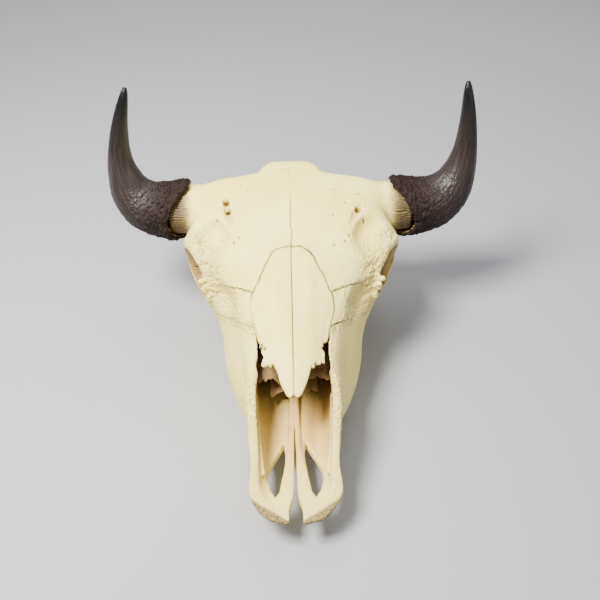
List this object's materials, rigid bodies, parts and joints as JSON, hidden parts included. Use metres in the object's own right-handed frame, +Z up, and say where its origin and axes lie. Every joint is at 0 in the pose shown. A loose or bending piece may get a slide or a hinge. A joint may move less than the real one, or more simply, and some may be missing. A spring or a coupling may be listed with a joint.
{
  "type": "bison skull",
  "caption": "Bison bull skull without its lower jaw, with curved dark horn sheaths on their cores, open nose, eye sockets and cheek teeth, lying at rest for display.",
  "frame": {"origin": "middle of the skull's footprint on the surface it lies on", "axes": "+X to the animal's left, +Y to the back of the skull with the snout towards -Y, +Z up"},
  "size_m": [0.5284, 0.5166, 0.362],
  "materials": {
    "bone": "dry, clean bone, matt to slightly waxy",
    "inner_bone": "thin, ragged tan bone",
    "horn": "rough brown horn at the root, polished black at the tip"
  },
  "bodies": {
    "root": {"nasal_left": "bone", "nasal_right": "bone", "premaxilla_left": "bone", "premaxilla_right": "bone", "lacrimal_left": "bone", "lacrimal_right": "bone", "zygomatic_left": "bone", "zygomatic_right": "bone", "maxilla_left": "bone", "maxilla_right": "bone", "frontal_left": "bone", "frontal_right": "bone", "braincase": "bone", "turbinate_left": "inner_bone", "turbinate_right": "inner_bone", "horn_sheath_left": "horn", "horn_sheath_right": "horn"}
  },
  "joints": []
}
